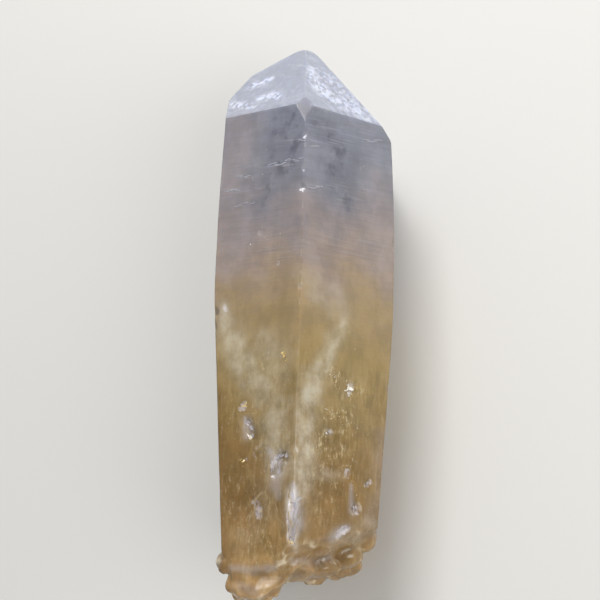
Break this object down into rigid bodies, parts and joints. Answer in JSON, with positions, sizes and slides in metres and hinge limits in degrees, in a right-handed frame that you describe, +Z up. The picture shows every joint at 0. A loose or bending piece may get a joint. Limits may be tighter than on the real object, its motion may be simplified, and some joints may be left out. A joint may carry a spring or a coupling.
{
  "type": "citrine crystal point",
  "caption": "Natural citrine quartz point: a stout six-sided prism with a faceted tip, a chipped corner and a broken, lobed base, lying on one prism face.",
  "frame": {"origin": "centre of the bounding box, on the surface that the crystal rests on", "axes": "+Y along the crystal from the broken base to the tip, +Z up from the resting face, +X to the right seen from the base end"},
  "size_m": [0.0508, 0.1442, 0.0445],
  "materials": {
    "quartz": "natural crystal faces: frosted grey-lilac tip, grey smoky upper prism, milky honey-olive lower half, glassy broken base"
  },
  "bodies": {
    "root": {"crystal": "quartz"}
  },
  "joints": []
}
